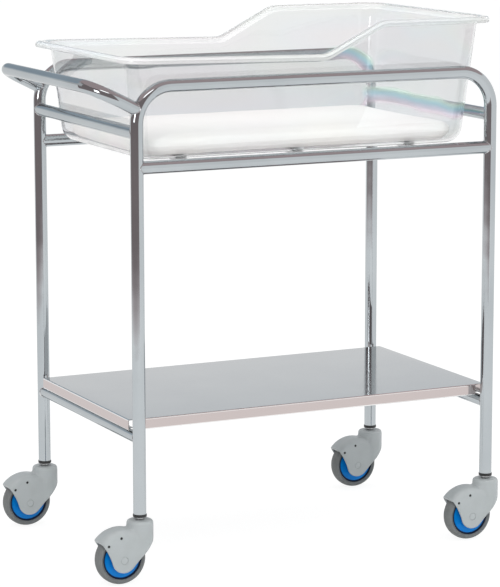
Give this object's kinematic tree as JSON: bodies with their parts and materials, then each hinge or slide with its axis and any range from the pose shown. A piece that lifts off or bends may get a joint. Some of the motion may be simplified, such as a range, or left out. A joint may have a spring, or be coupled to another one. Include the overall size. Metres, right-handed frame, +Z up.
{
  "type": "hospital bassinet",
  "caption": "Wheeled hospital bassinet: clear plastic tub with raised head end and thin mattress on a chromed tube stand with a push handle, low shelf and swivel casters.",
  "frame": {"origin": "on the floor, under the middle of the whole object", "axes": "+X towards the raised head end of the tub, -X towards the push handle, +Y to the back, +Z up"},
  "size_m": [0.8874, 0.547, 1.057],
  "materials": {
    "chromed_tube": "polished",
    "shelf_sheet": "satin",
    "clear_plastic": "clear gloss",
    "mattress_cover": "matte wipeable cover",
    "black_plastic": "matte",
    "stem_steel": "plain",
    "hood_plastic": "satin",
    "hub_plastic": "satin",
    "tyre_rubber": "matte"
  },
  "bodies": {
    "stand": {"side_frame_front": "chromed_tube", "lower_rail_front": "chromed_tube", "side_frame_back": "chromed_tube", "lower_rail_back": "chromed_tube", "end_bar_foot": "chromed_tube", "shelf_bar_foot": "chromed_tube", "end_bar_head": "chromed_tube", "shelf_bar_head": "chromed_tube", "push_handle": "chromed_tube", "tub_support_1": "chromed_tube", "tub_support_2": "chromed_tube", "tub_support_3": "chromed_tube", "shelf": "shelf_sheet", "leg_insert_front_foot": "black_plastic", "caster_stem_front_foot": "stem_steel", "leg_insert_front_head": "black_plastic", "caster_stem_front_head": "stem_steel", "leg_insert_back_foot": "black_plastic", "caster_stem_back_foot": "stem_steel", "leg_insert_back_head": "black_plastic", "caster_stem_back_head": "stem_steel"},
    "tub": {"tub": "clear_plastic"},
    "mattress": {"mattress": "mattress_cover"},
    "caster_front_foot": {"swivel_bearing_front_foot": "stem_steel", "caster_fork_front_foot": "hood_plastic", "axle_rivet_front_foot": "hood_plastic", "axle_sleeve_front_foot": "stem_steel"},
    "wheel_front_foot": {"wheel_hub_front_foot": "hub_plastic", "wheel_tyre_front_foot": "tyre_rubber"},
    "caster_front_head": {"swivel_bearing_front_head": "stem_steel", "caster_fork_front_head": "hood_plastic", "axle_rivet_front_head": "hood_plastic", "axle_sleeve_front_head": "stem_steel"},
    "wheel_front_head": {"wheel_hub_front_head": "hub_plastic", "wheel_tyre_front_head": "tyre_rubber"},
    "caster_back_foot": {"swivel_bearing_back_foot": "stem_steel", "caster_fork_back_foot": "hood_plastic", "axle_rivet_back_foot": "hood_plastic", "axle_sleeve_back_foot": "stem_steel"},
    "wheel_back_foot": {"wheel_hub_back_foot": "hub_plastic", "wheel_tyre_back_foot": "tyre_rubber"},
    "caster_back_head": {"swivel_bearing_back_head": "stem_steel", "caster_fork_back_head": "hood_plastic", "axle_rivet_back_head": "hood_plastic", "axle_sleeve_back_head": "stem_steel"},
    "wheel_back_head": {"wheel_hub_back_head": "hub_plastic", "wheel_tyre_back_head": "tyre_rubber"}
  },
  "joints": [
    {"name": "tub_lift", "type": "slide", "parent": "stand", "child": "tub", "axis": [0, 0, 1], "range_m": [0, 0.25]},
    {"name": "mattress_lift", "type": "slide", "parent": "tub", "child": "mattress", "axis": [0, 0, 1], "range_m": [0, 0.25]},
    {"name": "swivel_front_foot", "type": "hinge", "parent": "stand", "child": "caster_front_foot", "pos_m": [-0.34725, -0.2475, 0.1], "axis": [0, 0, 1], "continuous": true},
    {"name": "roll_front_foot", "type": "hinge", "parent": "caster_front_foot", "child": "wheel_front_foot", "pos_m": [-0.38925, -0.2475, 0.05], "axis": [0, 1, 0], "continuous": true},
    {"name": "swivel_front_head", "type": "hinge", "parent": "stand", "child": "caster_front_head", "pos_m": [0.41775, -0.2475, 0.1], "axis": [0, 0, 1], "continuous": true},
    {"name": "roll_front_head", "type": "hinge", "parent": "caster_front_head", "child": "wheel_front_head", "pos_m": [0.37575, -0.2475, 0.05], "axis": [0, 1, 0], "continuous": true},
    {"name": "swivel_back_foot", "type": "hinge", "parent": "stand", "child": "caster_back_foot", "pos_m": [-0.34725, 0.2475, 0.1], "axis": [0, 0, 1], "continuous": true},
    {"name": "roll_back_foot", "type": "hinge", "parent": "caster_back_foot", "child": "wheel_back_foot", "pos_m": [-0.38925, 0.2475, 0.05], "axis": [0, 1, 0], "continuous": true},
    {"name": "swivel_back_head", "type": "hinge", "parent": "stand", "child": "caster_back_head", "pos_m": [0.41775, 0.2475, 0.1], "axis": [0, 0, 1], "continuous": true},
    {"name": "roll_back_head", "type": "hinge", "parent": "caster_back_head", "child": "wheel_back_head", "pos_m": [0.37575, 0.2475, 0.05], "axis": [0, 1, 0], "continuous": true}
  ]
}
